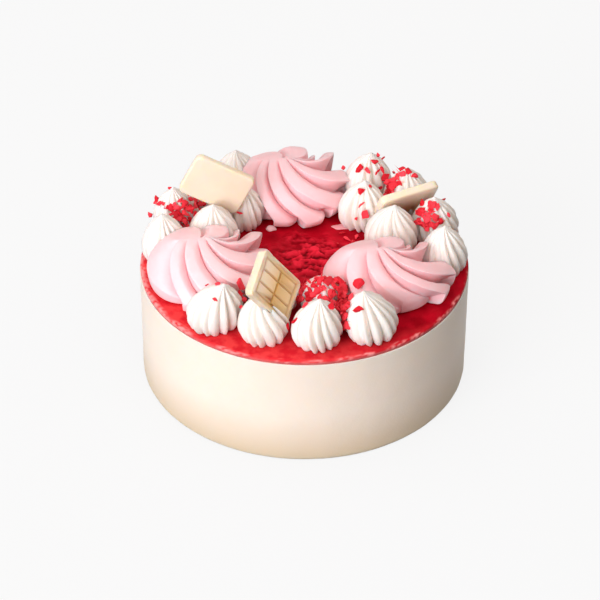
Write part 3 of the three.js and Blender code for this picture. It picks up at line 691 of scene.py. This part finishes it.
def make_smear(name, material):
    """A low, ragged smear of pink cream on the jelly."""
    (x, y), (long, wide, high), pinkness = SMEARS[name]
    rise = np.linspace(0, np.pi / 2, SMEAR_RINGS)[:-1][:, None]
    angle = np.linspace(0, 2 * np.pi, SMEAR_COLUMNS, endpoint=False)[None, :]
    rings = np.stack([
        x + long * np.cos(rise) * np.cos(angle),
        y + wide * np.cos(rise) * np.sin(angle),
        JELLY_TOP + high * np.sin(rise) + 0 * angle,
    ], -1)
    ragged = 1 + unevenness(rings, SMEAR_RAGGEDNESS)[..., None]
    rings[..., :2] = (x, y) + (rings[..., :2] - (x, y)) * ragged
    base, top = (x, y, JELLY_TOP), (x, y, JELLY_TOP + high)
    shade = pinkness + 0 * rings[..., 0]
    closed_piece(name, rings, base, top, material, "pink_cream", shade=shade)


def make_body(material):
    """The cake's wall and its two flat ends, with a faint unevenness."""
    soft, sharp = EDGE_ROUNDING, COVERED_ROUNDING
    arc = quarter_turn(ROUNDING_POINTS)
    lower = [(CAKE_RADIUS - soft + soft * s, soft - soft * c) for c, s in arc]
    heights = np.linspace(soft, CREAM_HEIGHT - sharp, WALL_POINTS)[1:-1]
    wall = [(CAKE_RADIUS, height) for height in heights]
    upper = [(CAKE_RADIUS - sharp + sharp * c, CREAM_HEIGHT - sharp + sharp * s) for c, s in arc]
    rings = revolved(lower + wall + upper, BODY_COLUMNS)
    inward = sum(depth * (1 + lumps(rings, width, seed)) for depth, width, seed in BODY_UNEVENNESS)
    rings[..., :2] *= (1 - inward / CAKE_RADIUS)[..., None]
    # Painted shade, darker towards the foot of the wall.
    shade = np.clip(1 - rings[..., 2] / FOOT_SHADE_HEIGHT, 0, 1) ** FOOT_SHADE_POWER
    base, top = (0, 0, 0), (0, 0, CREAM_HEIGHT)
    closed_piece("cream_body", rings, base, top, material, "yogurt_cream", ("yogurt_body",), shade=shade)


def crumples(points):
    """The jelly's crumpled middle: how high each point is on a fold, which is also painted lighter, and how
    much painted shade it gets in a hollow.
    """
    distance = np.hypot(points[..., 0] - CRUMPLE_CENTRE[0], points[..., 1] - CRUMPLE_CENTRE[1])
    ragged = unevenness(points, CRUMPLE_RAGGEDNESS)
    fade = np.clip(CRUMPLE_STRENGTH - distance / CRUMPLE_FADE + ragged, 0, 1)
    bent = points * np.array(RELIEF_STRETCH) + unevenness(points, RELIEF_BENDING)[..., None]
    relief = unevenness(bent, *RELIEF_LUMPS)
    fold = np.clip(FOLD_BASE + FOLD_STEEPNESS * relief, 0, HIGHEST_FOLD)
    hollow = np.clip(-HOLLOW_STEEPNESS * relief - HOLLOW_START, 0, 1)
    return fade * fold, fade * hollow


def paleness(points):
    """How pale the jelly is: at its uneven border, where it is thin, with painted light at the far left, and
    on its side, with a pink fringe and painted light against its shade.
    """
    reach = np.hypot(points[..., 0], points[..., 1])
    left = np.clip(-points[..., 0] / JELLY_RADIUS, 0, 1)
    wider = BORDER_LIT_WIDER_LEFT * left**BORDER_LEFT_POWER
    inner = JELLY_RADIUS - BORDER_WIDTH - wider - unevenness(points, BORDER_WANDERING)
    patches = unevenness(points, BORDER_PATCHES)
    patchy = np.clip(BORDER_PALENESS + BORDER_LIT_PALER_LEFT * left + patches, 0, 1)
    side = np.clip((JELLY_TOP - PALE_SIDE_START - points[..., 2]) / PALE_SIDE_HEIGHT, 0, 1)
    return np.maximum(np.clip((reach - inner) / BORDER_SOFTNESS, 0, 1) * patchy, PALE_FRINGE_AND_LIT_SIDE * side)


def make_jelly(material):
    """The jelly, with its crumpled middle and rounded edge."""
    soft = JELLY_ROUNDING
    bottom = CREAM_HEIGHT + SEAM
    reaches = np.linspace(JELLY_INNERMOST, JELLY_RADIUS - soft, JELLY_RINGS)[:-1]
    flat = [(reach, JELLY_TOP) for reach in reaches]
    arc = quarter_turn(JELLY_ROUNDING_POINTS)
    edge = [(JELLY_RADIUS - soft + soft * s, JELLY_TOP - soft + soft * c) for c, s in arc]
    rings = revolved(flat + edge + [(JELLY_RADIUS - JELLY_UNDERCUT, bottom)], JELLY_COLUMNS)
    fold, hollow = crumples(rings)
    top = len(flat) + len(edge) // 2
    rings[:top, :, 2] += CRUMPLE_HEIGHT * fold[:top]
    rings[:top, :, 2] += unevenness(rings[:top], JELLY_UNEVENNESS) - JELLY_SINK
    rings = rings[::-1]
    closed_piece(
        "jelly", rings, (0, 0, bottom), (0, 0, JELLY_TOP), material, "strawberry_jelly",
        ("strawberry_jelly",), shade=paleness(rings), fold=fold[::-1], hollow=hollow[::-1])


def upright(edge):
    a, b = (vertex.co for vertex in edge.verts)
    return math.hypot(a.x - b.x, a.y - b.y) < TINY


def sharp_edges(mesh):
    return [edge for edge in mesh.edges if edge.calc_face_angle(0) > SHARP_ANGLE]


def soften(mesh, edges, offset, steps):
    bmesh.ops.bevel(
        mesh, geom=edges, offset=offset, segments=steps, profile=0.5, affect="EDGES", clamp_overlap=True)


def grid_lines(half, axis, moulded):
    """Where a plate's upper side is divided along one axis: at its edges and, if moulded, its pads."""
    count = PADS[axis]
    inner = [(i - count / 2) * PAD_PITCH[axis] for i in range(count + 1)]
    return [-half, *inner, half] if moulded else [-half, half]


def plain_plate(moulded):
    """A plate about its own middle, and the faces of its upper side that become pads."""
    half = (PLAQUE_LENGTH / 2, PLAQUE_WIDTH / 2, PLAQUE_THICKNESS / 2)
    xs, ys = (grid_lines(half[axis], axis, moulded) for axis in (0, 1))
    mesh = bmesh.new()
    top = [[mesh.verts.new((x, y, half[2])) for y in ys] for x in xs]
    cells = []
    for i in range(len(xs) - 1):
        for j in range(len(ys) - 1):
            face = mesh.faces.new((top[i][j], top[i + 1][j], top[i + 1][j + 1], top[i][j + 1]))
            if moulded and 0 < i <= PADS[0] and 0 < j <= PADS[1]:
                cells.append(face)
    border = [edge for edge in mesh.edges if edge.is_boundary]
    sides = bmesh.ops.extrude_edge_only(mesh, edges=border)["geom"]
    low = [item for item in sides if isinstance(item, bmesh.types.BMVert)]
    bmesh.ops.translate(mesh, verts=low, vec=(0, 0, -2 * half[2]))
    bmesh.ops.holes_fill(mesh, edges=[edge for edge in mesh.edges if edge.is_boundary])
    bmesh.ops.recalc_face_normals(mesh, faces=mesh.faces)
    return mesh, cells


def plaque_sheet(moulded):
    """A softened plate, with soft pads standing in a sunk panel on its upper side if moulded."""
    mesh, cells = plain_plate(moulded)
    corners = [edge for edge in sharp_edges(mesh) if upright(edge)]
    soften(mesh, corners, PLAQUE_CORNER, CORNER_STEPS)
    soften(mesh, sharp_edges(mesh), PLAQUE_SOFTENING, EDGE_STEPS)
    if moulded:
        cells = [face for face in cells if face.is_valid]
        bmesh.ops.inset_region(mesh, faces=cells, thickness=GROOVE_SLOPE, depth=-GROOVE_DEPTH)
        bmesh.ops.inset_individual(mesh, faces=cells, thickness=GROOVE_WIDTH / 2, depth=0)
        bmesh.ops.inset_individual(mesh, faces=cells, thickness=GROOVE_SLOPE, depth=GROOVE_DEPTH)
        soften(mesh, sharp_edges(mesh), PAD_SOFTENING, PAD_STEPS)
    return mesh


def painted_warm_shade_and_glow(points):
    """How much painted warm shade and glow a moulded plaque gets: more on its lower half and in its grooves,
    the middle one most.
    """
    x, y, z = points.T
    panel_x, panel_y = (PADS[axis] * PAD_PITCH[axis] / 2 + PANEL_MARGIN for axis in (0, 1))
    inside = (np.abs(x) < panel_x) & (np.abs(y) < panel_y) & (z > 0)
    depth = np.clip((PLAQUE_THICKNESS / 2 - z) / GROOVE_DEPTH, 0, 1)
    lower = np.clip(0.5 + x / LOWER_HALF_REACH, 0, 1)
    middle = np.clip(MIDDLE_GROOVE_START - np.abs(x) / MIDDLE_GROOVE_REACH, 0, 1)
    panel = PAINTED_WARMTH["panel"] + PAINTED_WARMTH["lower half"] * lower + PAINTED_WARMTH["grooves"] * depth
    return PAINTED_WARMTH["plate"] + inside * (panel + PAINTED_WARMTH["middle groove"] * middle)


def make_plaque(name, material):
    """A small plate of white chocolate that stands in the cream."""
    middle, _, _, moulded = PLAQUES[name]
    mesh = plaque_sheet(moulded)
    own_points = np.array([vertex.co for vertex in mesh.verts])
    turn = plaque_axes(name).transposed().to_4x4()
    mesh.transform(Matrix.Translation(middle) @ turn)
    mesh.verts.index_update()
    points = [tuple(vertex.co) for vertex in mesh.verts]
    faces = [tuple(vertex.index for vertex in face.verts) for face in mesh.faces]
    mesh.free()
    # Painted warm shade and glow on the moulded plaque.
    shade = painted_warm_shade_and_glow(own_points) if moulded else np.zeros(len(points))
    heights = np.array(points)[:, 2]
    # A painted glow at the low edge of the glowing plaque.
    glow = (name == GLOWING_PLAQUE) * (1 - (heights - heights.min()) / LOW_GLOW)
    new_piece(
        name + "_chocolate", points, faces, material, "white_chocolate", (name,), shade=shade, glow=glow)


def numbers_from(seed):
    """The part's own repeatable numbers from 0 to 1 (mulberry32), so that flakes lie alike."""
    state = seed

    def signed(value):
        value &= 0xFFFFFFFF
        return value - 0x100000000 if value & 0x80000000 else value

    def following():
        nonlocal state
        state = signed(state + 0x6D2B79F5)
        whole = state & 0xFFFFFFFF
        mixed = signed(signed(whole ^ (whole >> 15)) * signed(1 | state))
        whole = mixed & 0xFFFFFFFF
        mixed = signed(mixed + signed(signed(whole ^ (whole >> 7)) * signed(61 | mixed))) ^ mixed
        whole = mixed & 0xFFFFFFFF
        return (whole ^ (whole >> 14)) / 0x100000000

    return following


def on_star(star, direction, share, out):
    """The point outside a star in one direction at one share of its height."""
    x, y, radius, height, lean_x, lean_y, _ = star
    reaches = [ring[0] for ring in STAR_RINGS]
    shares = [ring[1] for ring in STAR_RINGS]
    reach = radius * np.interp(share, shares, reaches) + out
    angle = math.radians(direction)
    return (
        x + share**2 * lean_x + reach * math.cos(angle),
        y + share**2 * lean_y + reach * math.sin(angle),
        TOPPING_BASE + height * share,
    )


def flakes_on(name, number):
    """The flakes of one star: where each is, which way is out of the cream, its size and its seed."""
    random = numbers_from(number)
    star = STARS[name]

    def between(low, high):
        return low + (high - low) * random()

    flakes = list(FLAKES.get(name, []))
    heaps = [heap[1:] for heap in HEAPS if heap[0] == name]
    for towards, spread, lowest, highest, furthest, count in heaps:
        for _ in range(count):
            direction = towards + spread * between(-1, 1)
            share = between(lowest, highest)
            out = furthest * random()
            flakes.append((direction, share, out, between(*HEAP_FLAKE_SIZES)))
    flakes += CRUMBS.get(name, [])
    for towards, spread, lowest, highest, furthest, count in heaps:
        for _ in range(HEAP_CRUMBS * count):
            direction = towards + HEAP_CRUMB_SPREAD * spread * between(-1, 1)
            share = between(lowest - HEAP_CRUMB_MARGIN, highest + HEAP_CRUMB_MARGIN)
            out = between(-HEAP_CRUMB_SINK, furthest)
            flakes.append((direction, share, out, between(*HEAP_CRUMB_SIZES)))
    return [
        (on_star(star, direction, share, out), direction, share, size, STAR_FLAKE_SEEDS * number + count)
        for count, (direction, share, out, size) in enumerate(flakes)
    ]


def rough_lump(random, pattern):
    """The points and faces of an angular, rough lump of size 1."""
    corners = random.normal(size=(FLAKE_CORNERS, 3))
    corners /= np.linalg.norm(corners, axis=1)[:, None]
    corners *= random.uniform(*FLAKE_REACH, (FLAKE_CORNERS, 1))
    lump = bmesh.new()
    for corner in corners:
        lump.verts.new(corner)
    hull = bmesh.ops.convex_hull(lump, input=lump.verts)
    loose = [item for item in hull["geom_interior"] if isinstance(item, bmesh.types.BMVert)]
    bmesh.ops.delete(lump, geom=loose, context="VERTS")
    bmesh.ops.bevel(lump, geom=lump.edges[:], offset=FLAKE_BEVEL, segments=1, affect="EDGES")
    bmesh.ops.triangulate(lump, faces=lump.faces[:])
    bmesh.ops.subdivide_edges(lump, edges=lump.edges[:], cuts=1, use_grid_fill=True)
    lump.verts.index_update()
    points = np.array([vertex.co for vertex in lump.verts])
    faces = [tuple(vertex.index for vertex in face.verts) for face in lump.faces]
    lump.free()
    points *= 1 + unevenness(points, (*FLAKE_ROUGHNESS, pattern))[:, None]
    return points, faces


def flake_points(place, direction, share, size, seed):
    """One flake: a flattened lump or a splinter that lies nearly flat on the cream."""
    random = np.random.default_rng(seed)
    points, faces = rough_lump(random, seed % FLAKE_PATTERNS)
    is_splinter = size < SPLINTER_SIZE and seed % 2
    points *= np.array(SPLINTER_SHAPE if is_splinter else FLAKE_SHAPE) * size
    spin = Matrix.Rotation(random.uniform(0, FLAKE_SPIN), 3, "Z")
    tilt = Euler((random.normal(0, FLAKE_TILT), random.normal(0, FLAKE_TILT), 0)).to_matrix()
    slope = math.radians(90 - FLAKE_LEVELLING * share)
    outward = Matrix.Rotation(math.radians(direction), 3, "Z") @ Matrix.Rotation(slope, 3, "Y")
    turn = np.array(outward @ tilt @ spin)
    return points @ turn.T + np.array(place), faces


def make_flakes(material):
    """All the flakes, as one piece, with a shade for each."""
    flakes = list(OTHER_FLAKES)
    for number, name in enumerate(STARS):
        flakes += flakes_on(name, number + 1)
    points, faces, shades = [], [], []
    for flake in flakes:
        own_points, own_faces = flake_points(*flake)
        start = len(points)
        points += own_points.tolist()
        faces += [tuple(start + corner for corner in face) for face in own_faces]
        shades += [(flake[-1] * SHADE_STEP) % 1] * len(own_points)
    new_piece("flakes", points, faces, material, "strawberry_jelly", smooth=False, shade=shades)


def new_material(name):
    material = bpy.data.materials.new(name)
    material.use_nodes = True
    nodes = material.node_tree.nodes
    return material, nodes, material.node_tree.links, nodes["Principled BSDF"]


def noise_texture(nodes, links, scale):
    coordinates = nodes.new("ShaderNodeTexCoord")
    texture = nodes.new("ShaderNodeTexNoise")
    texture.inputs["Scale"].default_value = scale
    links.new(coordinates.outputs["Object"], texture.inputs["Vector"])
    return texture


def two_colours(nodes, links, value, colours, places=(0, 1)):
    """A colour that turns from the first to the last as the value goes from place to place."""
    ramp = nodes.new("ShaderNodeValToRGB")
    for element, place, colour in zip(ramp.color_ramp.elements, places, colours):
        element.position = place
        element.color = (*colour, 1)
    links.new(value, ramp.inputs["Fac"])
    return ramp.outputs["Color"]


def cloudy(nodes, links, colours, scale, places=RAMP_PLACES):
    """Two colours that follow a noise, to be plugged into a shader."""
    texture = noise_texture(nodes, links, scale)
    texture.inputs["Detail"].default_value = NOISE_DETAIL
    return two_colours(nodes, links, texture.outputs["Fac"], colours, places)


def colour_mix(nodes, links, factor, first):
    """A node that mixes the first colour with another, by a factor."""
    mix = nodes.new("ShaderNodeMix")
    mix.data_type = "RGBA"
    links.new(factor, mix.inputs["Factor"])
    links.new(first, mix.inputs["A"])
    return mix


def shaded(nodes, links, colour, deep, kind="shade"):
    """The colour, turning to another where the piece's own shade of that kind is deep."""
    depth = nodes.new("ShaderNodeAttribute")
    depth.attribute_name = kind
    mix = colour_mix(nodes, links, depth.outputs["Fac"], colour)
    mix.inputs["B"].default_value = (*deep, 1)
    return mix.outputs["Result"]


def fine_bump(nodes, links, shader, scale, strength):
    texture = noise_texture(nodes, links, scale)
    bump = nodes.new("ShaderNodeBump")
    bump.inputs["Strength"].default_value = strength
    bump.inputs["Distance"].default_value = BUMP_DISTANCE
    links.new(texture.outputs["Fac"], bump.inputs["Height"])
    links.new(bump.outputs["Normal"], shader.inputs["Normal"])


def let_light_in(shader, spread):
    """Light goes in and comes out again nearby, each of red, green and blue as far as spread says."""
    shader.inputs["Subsurface Weight"].default_value = TRANSLUCENCY
    shader.inputs["Subsurface Radius"].default_value = spread
    shader.inputs["Subsurface Scale"].default_value = LIGHT_SPREAD


def cream_material(name, colour, deep, spread, roughness=CREAM_ROUGHNESS):
    """Cream of one colour: soft, faintly cloudy, and of another colour where its shade is deep: painted
    light in star grooves, painted shade at the wall's foot and in rosette valleys, a pinker tint on smears.
    """
    material, nodes, links, shader = new_material(name)
    cloud = tuple(CREAM_CLOUDS * value for value in colour)
    surface = shaded(nodes, links, cloudy(nodes, links, (cloud, colour), scale=60), deep)
    links.new(surface, shader.inputs["Base Color"])
    shader.inputs["Roughness"].default_value = roughness
    let_light_in(shader, spread)
    fine_bump(nodes, links, shader, scale=900, strength=0.15)
    return material


def painted_jelly_light(nodes, links):
    """How much painted light the jelly gets, from 0 to 1, by the distance from the middle of its painted
    shade.
    """
    coordinates = nodes.new("ShaderNodeTexCoord")
    distance = nodes.new("ShaderNodeVectorMath")
    distance.operation = "DISTANCE"
    distance.inputs[1].default_value = JELLY_SHADE_CENTRE
    links.new(coordinates.outputs["Object"], distance.inputs[0])
    outwards = nodes.new("ShaderNodeMapRange")
    outwards.inputs["From Min"].default_value = JELLY_LIGHT_RISE[0]
    outwards.inputs["From Max"].default_value = JELLY_LIGHT_RISE[1]
    links.new(distance.outputs["Value"], outwards.inputs["Value"])
    return outwards.outputs["Result"]


def jelly_material():
    """Dark red jelly with painted shade towards the back right and painted light towards the front left, and
    painted shade and highlights in its crumpled middle.
    """
    material, nodes, links, shader = new_material("strawberry jelly")
    shaded_red = cloudy(nodes, links, JELLY_SHADED, scale=110)
    lit_red = cloudy(nodes, links, JELLY_LIT, scale=200, places=(0.36, 0.6))
    mix = colour_mix(nodes, links, painted_jelly_light(nodes, links), shaded_red)
    links.new(lit_red, mix.inputs["B"])
    # Painted shade in the hollows, and folds painted lighter, partly as thinner jelly and partly as a
    # highlight.
    colour = shaded(nodes, links, mix.outputs["Result"], JELLY_HOLLOW_SHADE, "hollow")
    colour = shaded(nodes, links, colour, JELLY_FOLD_AND_HIGHLIGHT, "fold")
    # The pale border, partly thin jelly and partly painted light, and the side's pink fringe and painted
    # light.
    colour = shaded(nodes, links, colour, JELLY_BORDER_AND_LIGHT)
    links.new(colour, shader.inputs["Base Color"])
    shader.inputs["Roughness"].default_value = 0.2
    shader.inputs["Specular IOR Level"].default_value = 0.02
    fine_bump(nodes, links, shader, scale=500, strength=0.1)
    return material


def flake_material():
    """Dried strawberry, each flake of its own red."""
    material, nodes, links, shader = new_material("dried strawberry")
    shade = nodes.new("ShaderNodeAttribute")
    shade.attribute_name = "shade"
    colour = two_colours(nodes, links, shade.outputs["Fac"], FLAKE_COLOURS)
    links.new(colour, shader.inputs["Base Color"])
    shader.inputs["Roughness"].default_value = 0.5
    shader.inputs["Specular IOR Level"].default_value = 0.2
    fine_bump(nodes, links, shader, scale=1500, strength=0.3)
    return material


def chocolate_material():
    """White chocolate, with painted warm shade and glow where its shade is deep and a painted orange glow
    where its glow is deep.
    """
    material, nodes, links, shader = new_material("white chocolate")
    colour = shaded(nodes, links, cloudy(nodes, links, CHOCOLATE_COLOURS, scale=50), CHOCOLATE_WARM_SHADE)
    colour = shaded(nodes, links, colour, CHOCOLATE_GLOW, "glow")
    links.new(colour, shader.inputs["Base Color"])
    shader.inputs["Roughness"].default_value = 0.38
    let_light_in(shader, CHOCOLATE_SPREAD)
    return material


def make_stage():
    """A plain pale floor, which throws no soft light on the cake."""
    material, _, _, shader = new_material("floor")
    shader.inputs["Base Color"].default_value = (*FLOOR_COLOUR, 1)
    shader.inputs["Emission Color"].default_value = (1, 1, 1, 1)
    shader.inputs["Emission Strength"].default_value = FLOOR_SHINE
    shader.inputs["Roughness"].default_value = 1
    shader.inputs["Specular IOR Level"].default_value = 0
    mesh = bpy.data.meshes.new("floor")
    corners = [(x * FLOOR_HALF, y * FLOOR_HALF, 0) for x, y in ((-1, -1), (1, -1), (1, 1), (-1, 1))]
    mesh.from_pydata(corners, [], [(0, 1, 2, 3)])
    mesh.materials.append(material)
    floor = bpy.data.objects.new("floor", mesh)
    bpy.context.scene.collection.objects.link(floor)
    floor.visible_diffuse = False


def make_light(name, place, size, power, colour):
    """A square lamp that is turned to the cake."""
    light = bpy.data.lights.new(name, "AREA")
    light.energy = power
    light.color = colour
    light.size = size
    lamp = bpy.data.objects.new(name, light)
    lamp.location = place
    lamp.rotation_euler = (Vector(LAMP_TARGET) - Vector(place)).to_track_quat("-Z", "Y").to_euler()
    bpy.context.scene.collection.objects.link(lamp)


def make_camera():
    ahead = Vector(CAMERA_AHEAD).normalized()
    up = Vector(CAMERA_UP).normalized()
    camera = bpy.data.objects.new("camera", bpy.data.cameras.new("camera"))
    camera.data.lens = CAMERA_LENS
    camera.data.sensor_width = CAMERA_SENSOR
    camera.data.clip_start = CAMERA_CLIP_START
    camera.rotation_mode = "QUATERNION"
    camera.location = Vector(CAMERA_PLACE) * MM
    camera.rotation_quaternion = Matrix((ahead.cross(up), up, -ahead)).transposed().to_quaternion()
    bpy.context.scene.collection.objects.link(camera)
    bpy.context.scene.camera = camera


def make_world():
    """Soft light from overhead, which fades towards the horizon and just below it."""
    world = bpy.data.worlds.new("studio")
    world.use_nodes = True
    nodes, links = world.node_tree.nodes, world.node_tree.links
    background = nodes["Background"]
    background.inputs["Color"].default_value = (*SKY_COLOUR, 1)
    direction = nodes.new("ShaderNodeTexCoord")
    parts = nodes.new("ShaderNodeSeparateXYZ")
    links.new(direction.outputs["Generated"], parts.inputs["Vector"])
    overhead = nodes.new("ShaderNodeMapRange")
    overhead.interpolation_type = "SMOOTHSTEP"
    overhead.inputs["From Min"].default_value = SKY_END
    overhead.inputs["To Max"].default_value = SKY_OVERHEAD
    links.new(parts.outputs["Z"], overhead.inputs["Value"])
    links.new(overhead.outputs["Result"], background.inputs["Strength"])
    bpy.context.scene.world = world
    bpy.context.scene.view_settings.view_transform = "Standard"


make_camera()
make_world()
make_stage()
make_light("key", KEY_PLACE, KEY_SIZE, KEY_POWER, KEY_COLOUR)
make_light("fill", FILL_PLACE, FILL_SIZE, FILL_POWER, FILL_COLOUR)

creams = {name: cream_material(name, *traits) for name, traits in CREAMS.items()}
make_body(creams["yogurt cream"])
make_jelly(jelly_material())
# The star under the heap gets cream painted pink and lighter, as bounced red light.
for number, name in enumerate(STARS):
    make_star(name, number + 1, creams["pink lit cream" if name == PINK_LIT_STAR else "white cream"])
for number, name in enumerate(ROSETTES):
    pink_cream = cream_material(
        name, ROSETTE_LIT_AND_SHADED_COLOURS[name], ROSETTE_CREASE_SHADE, ROSETTE_SPREAD, ROSETTE_ROUGHNESS)
    make_rosette(name, number + ROSETTE_SEED, pink_cream)
for name in SMEARS:
    make_smear(name, creams["smeared cream"])
chocolate = chocolate_material()
for name in PLAQUES:
    make_plaque(name, chocolate)
make_flakes(flake_material())
